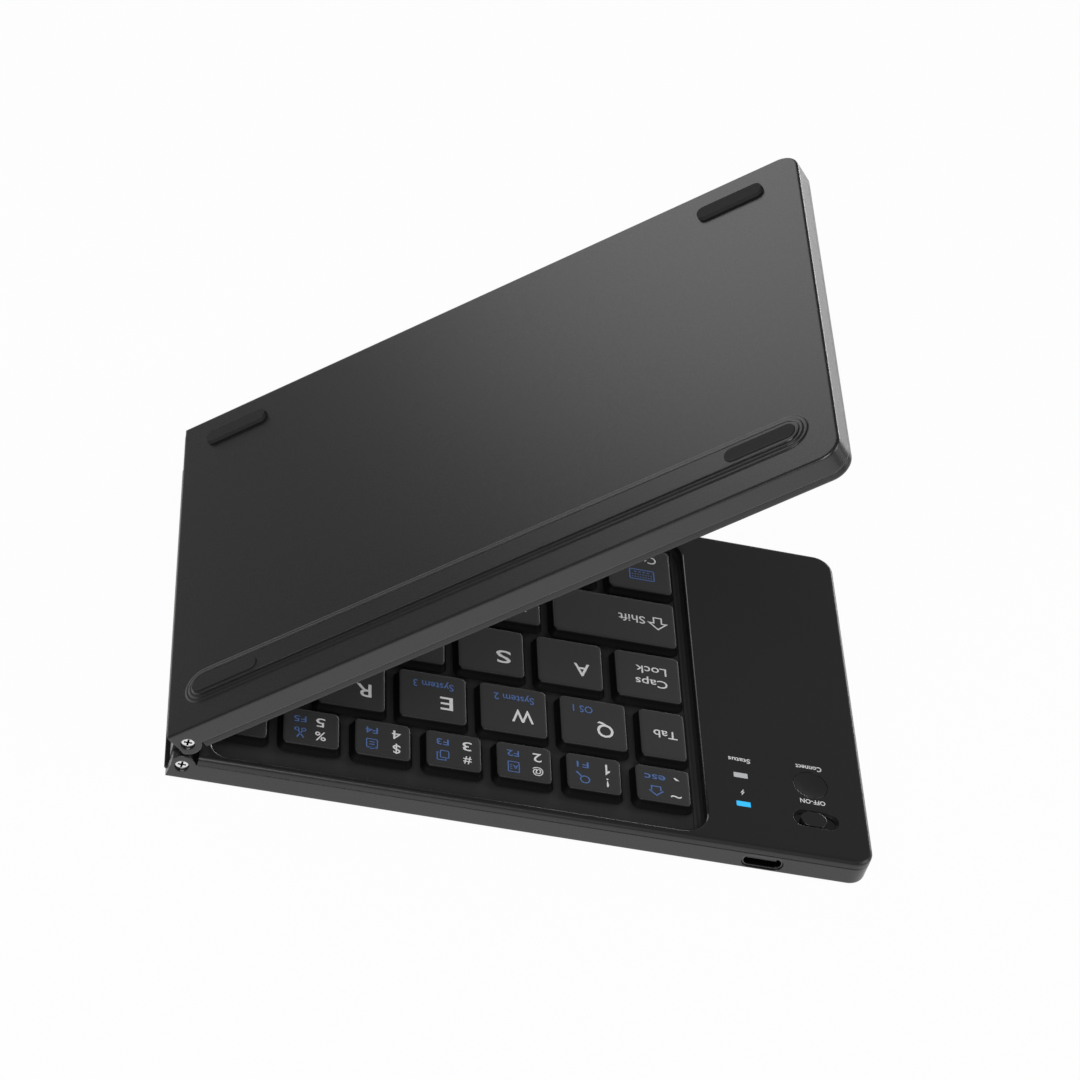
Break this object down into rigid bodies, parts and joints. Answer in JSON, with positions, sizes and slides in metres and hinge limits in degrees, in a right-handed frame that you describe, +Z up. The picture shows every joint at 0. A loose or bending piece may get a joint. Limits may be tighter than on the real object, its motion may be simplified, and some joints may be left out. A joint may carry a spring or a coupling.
{
  "type": "folding keyboard",
  "caption": "Slim wireless keyboard that folds in half like a book on a narrow spine bar, shown standing open with its right half raised.",
  "frame": {"origin": "middle of the bounding box in plan, at the height of the surface the feet stand on", "axes": "+X from the hinge to the outer end of the lower half, along its length; +Y from the rear edge (number row and charging port) to the front edge (space bar), towards the person who types; +Z up. The raised half is the right-hand one."},
  "size_m": [0.1534, 0.097, 0.1162],
  "materials": {
    "top_cover": "matt near-black moulded plastic",
    "bottom_cover": "satin dark grey moulded plastic",
    "key": "matt near-black moulded plastic with printed characters",
    "key_frame": "matt black moulded plastic",
    "board": "green circuit board",
    "dome": "soft pale silicone",
    "foot": "matt black rubber",
    "screw": "bright nickel-plated steel",
    "steel": "plain steel",
    "spine": "satin black painted zinc casting",
    "flex": "amber polyimide film",
    "battery": "grey film wrapped round a pouch cell",
    "button": "matt near-black moulded plastic",
    "status_lens": "pale translucent plastic",
    "charge_lens": "cyan translucent plastic"
  },
  "bodies": {
    "left_half": {"left_bottom_cover": "bottom_cover", "left_top_cover": "top_cover", "left_key_frame": "key_frame", "left_key_board": "board", "left_key_domes": "dome", "left_feet": "foot", "left_cover_screws": "steel", "main_board": "board", "usb_c_port": "screw", "battery": "battery", "status_light": "status_lens", "charge_light": "charge_lens"},
    "link": {"hinge_spine": "spine", "hinge_screws": "screw", "hinge_washers": "steel", "hinge_flex": "flex"},
    "right_half": {"right_bottom_cover": "bottom_cover", "right_top_cover": "top_cover", "right_key_frame": "key_frame", "right_key_board": "board", "right_key_domes": "dome", "right_feet": "foot", "right_cover_screws": "steel"},
    "connect_button": {"connect_button": "button"},
    "power_slider": {"power_slider": "button"},
    "key_tilde": {"key_tilde": "key"},
    "key_1": {"key_1": "key"},
    "key_2": {"key_2": "key"},
    "key_3": {"key_3": "key"},
    "key_4": {"key_4": "key"},
    "key_5": {"key_5": "key"},
    "key_6": {"key_6": "key"},
    "key_tab": {"key_tab": "key"},
    "key_q": {"key_q": "key"},
    "key_w": {"key_w": "key"},
    "key_e": {"key_e": "key"},
    "key_r": {"key_r": "key"},
    "key_t": {"key_t": "key"},
    "key_caps": {"key_caps": "key"},
    "key_a": {"key_a": "key"},
    "key_s": {"key_s": "key"},
    "key_d": {"key_d": "key"},
    "key_f": {"key_f": "key"},
    "key_g": {"key_g": "key"},
    "key_shift": {"key_shift": "key"},
    "key_z": {"key_z": "key"},
    "key_x": {"key_x": "key"},
    "key_c": {"key_c": "key"},
    "key_v": {"key_v": "key"},
    "key_ctrl": {"key_ctrl": "key"},
    "key_fn": {"key_fn": "key"},
    "key_option": {"key_option": "key"},
    "key_alt": {"key_alt": "key"},
    "key_space": {"key_space": "key"},
    "right_number_row": {"right_number_row": "key"},
    "right_top_row": {"right_top_row": "key"},
    "right_home_row": {"right_home_row": "key"},
    "right_lower_row": {"right_lower_row": "key"},
    "right_space_row": {"right_space_row": "key"}
  },
  "joints": [
    {"name": "left_pivot", "type": "hinge", "parent": "left_half", "child": "link", "pos_m": [-0.07218, 0, 0.0045], "axis": [0, -1, 0], "range_deg": [0, 90]},
    {"name": "right_pivot", "type": "hinge", "parent": "link", "child": "right_half", "pos_m": [-0.07218, 0, 0.011], "axis": [0, -1, 0], "range_deg": [-43.7, 46.3]},
    {"name": "power_slide", "type": "slide", "parent": "left_half", "child": "power_slider", "axis": [1, 0, 0], "range_m": [0, 0.002]},
    {"name": "connect_press", "type": "slide", "parent": "left_half", "child": "connect_button", "axis": [0, 0, -1], "range_m": [0, 0.0004], "stiffness_N_per_m": 1500, "springref_m": -0.0004},
    {"name": "press_tilde", "type": "slide", "parent": "left_half", "child": "key_tilde", "axis": [0, 0, -1], "range_m": [0, 0.0013], "stiffness_N_per_m": 350, "springref_m": -0.0004, "deforming": ["left_key_domes"]},
    {"name": "press_1", "type": "slide", "parent": "left_half", "child": "key_1", "axis": [0, 0, -1], "range_m": [0, 0.0013], "stiffness_N_per_m": 350, "springref_m": -0.0004},
    {"name": "press_2", "type": "slide", "parent": "left_half", "child": "key_2", "axis": [0, 0, -1], "range_m": [0, 0.0013], "stiffness_N_per_m": 350, "springref_m": -0.0004},
    {"name": "press_3", "type": "slide", "parent": "left_half", "child": "key_3", "axis": [0, 0, -1], "range_m": [0, 0.0013], "stiffness_N_per_m": 350, "springref_m": -0.0004},
    {"name": "press_4", "type": "slide", "parent": "left_half", "child": "key_4", "axis": [0, 0, -1], "range_m": [0, 0.0013], "stiffness_N_per_m": 350, "springref_m": -0.0004},
    {"name": "press_5", "type": "slide", "parent": "left_half", "child": "key_5", "axis": [0, 0, -1], "range_m": [0, 0.0013], "stiffness_N_per_m": 350, "springref_m": -0.0004},
    {"name": "press_6", "type": "slide", "parent": "left_half", "child": "key_6", "axis": [0, 0, -1], "range_m": [0, 0.0013], "stiffness_N_per_m": 350, "springref_m": -0.0004},
    {"name": "press_tab", "type": "slide", "parent": "left_half", "child": "key_tab", "axis": [0, 0, -1], "range_m": [0, 0.0013], "stiffness_N_per_m": 350, "springref_m": -0.0004},
    {"name": "press_q", "type": "slide", "parent": "left_half", "child": "key_q", "axis": [0, 0, -1], "range_m": [0, 0.0013], "stiffness_N_per_m": 350, "springref_m": -0.0004},
    {"name": "press_w", "type": "slide", "parent": "left_half", "child": "key_w", "axis": [0, 0, -1], "range_m": [0, 0.0013], "stiffness_N_per_m": 350, "springref_m": -0.0004},
    {"name": "press_e", "type": "slide", "parent": "left_half", "child": "key_e", "axis": [0, 0, -1], "range_m": [0, 0.0013], "stiffness_N_per_m": 350, "springref_m": -0.0004},
    {"name": "press_r", "type": "slide", "parent": "left_half", "child": "key_r", "axis": [0, 0, -1], "range_m": [0, 0.0013], "stiffness_N_per_m": 350, "springref_m": -0.0004},
    {"name": "press_t", "type": "slide", "parent": "left_half", "child": "key_t", "axis": [0, 0, -1], "range_m": [0, 0.0013], "stiffness_N_per_m": 350, "springref_m": -0.0004},
    {"name": "press_caps", "type": "slide", "parent": "left_half", "child": "key_caps", "axis": [0, 0, -1], "range_m": [0, 0.0013], "stiffness_N_per_m": 350, "springref_m": -0.0004},
    {"name": "press_a", "type": "slide", "parent": "left_half", "child": "key_a", "axis": [0, 0, -1], "range_m": [0, 0.0013], "stiffness_N_per_m": 350, "springref_m": -0.0004},
    {"name": "press_s", "type": "slide", "parent": "left_half", "child": "key_s", "axis": [0, 0, -1], "range_m": [0, 0.0013], "stiffness_N_per_m": 350, "springref_m": -0.0004},
    {"name": "press_d", "type": "slide", "parent": "left_half", "child": "key_d", "axis": [0, 0, -1], "range_m": [0, 0.0013], "stiffness_N_per_m": 350, "springref_m": -0.0004},
    {"name": "press_f", "type": "slide", "parent": "left_half", "child": "key_f", "axis": [0, 0, -1], "range_m": [0, 0.0013], "stiffness_N_per_m": 350, "springref_m": -0.0004},
    {"name": "press_g", "type": "slide", "parent": "left_half", "child": "key_g", "axis": [0, 0, -1], "range_m": [0, 0.0013], "stiffness_N_per_m": 350, "springref_m": -0.0004},
    {"name": "press_shift", "type": "slide", "parent": "left_half", "child": "key_shift", "axis": [0, 0, -1], "range_m": [0, 0.0013], "stiffness_N_per_m": 350, "springref_m": -0.0004},
    {"name": "press_z", "type": "slide", "parent": "left_half", "child": "key_z", "axis": [0, 0, -1], "range_m": [0, 0.0013], "stiffness_N_per_m": 350, "springref_m": -0.0004},
    {"name": "press_x", "type": "slide", "parent": "left_half", "child": "key_x", "axis": [0, 0, -1], "range_m": [0, 0.0013], "stiffness_N_per_m": 350, "springref_m": -0.0004},
    {"name": "press_c", "type": "slide", "parent": "left_half", "child": "key_c", "axis": [0, 0, -1], "range_m": [0, 0.0013], "stiffness_N_per_m": 350, "springref_m": -0.0004},
    {"name": "press_v", "type": "slide", "parent": "left_half", "child": "key_v", "axis": [0, 0, -1], "range_m": [0, 0.0013], "stiffness_N_per_m": 350, "springref_m": -0.0004},
    {"name": "press_ctrl", "type": "slide", "parent": "left_half", "child": "key_ctrl", "axis": [0, 0, -1], "range_m": [0, 0.0013], "stiffness_N_per_m": 350, "springref_m": -0.0004},
    {"name": "press_fn", "type": "slide", "parent": "left_half", "child": "key_fn", "axis": [0, 0, -1], "range_m": [0, 0.0013], "stiffness_N_per_m": 350, "springref_m": -0.0004},
    {"name": "press_option", "type": "slide", "parent": "left_half", "child": "key_option", "axis": [0, 0, -1], "range_m": [0, 0.0013], "stiffness_N_per_m": 350, "springref_m": -0.0004},
    {"name": "press_alt", "type": "slide", "parent": "left_half", "child": "key_alt", "axis": [0, 0, -1], "range_m": [0, 0.0013], "stiffness_N_per_m": 350, "springref_m": -0.0004},
    {"name": "press_space", "type": "slide", "parent": "left_half", "child": "key_space", "axis": [0, 0, -1], "range_m": [0, 0.0013], "stiffness_N_per_m": 350, "springref_m": -0.0004},
    {"name": "press_right_number_row", "type": "slide", "parent": "right_half", "child": "right_number_row", "axis": [-0.6909, 0, 0.723], "range_m": [0, 0.0013], "stiffness_N_per_m": 2800, "springref_m": -0.0004, "deforming": ["right_key_domes"]},
    {"name": "press_right_top_row", "type": "slide", "parent": "right_half", "child": "right_top_row", "axis": [-0.6909, 0, 0.723], "range_m": [0, 0.0013], "stiffness_N_per_m": 2800, "springref_m": -0.0004},
    {"name": "press_right_home_row", "type": "slide", "parent": "right_half", "child": "right_home_row", "axis": [-0.6909, 0, 0.723], "range_m": [0, 0.0013], "stiffness_N_per_m": 2800, "springref_m": -0.0004},
    {"name": "press_right_lower_row", "type": "slide", "parent": "right_half", "child": "right_lower_row", "axis": [-0.6909, 0, 0.723], "range_m": [0, 0.0013], "stiffness_N_per_m": 2800, "springref_m": -0.0004},
    {"name": "press_right_space_row", "type": "slide", "parent": "right_half", "child": "right_space_row", "axis": [-0.6909, 0, 0.723], "range_m": [0, 0.0013], "stiffness_N_per_m": 2800, "springref_m": -0.0004}
  ]
}
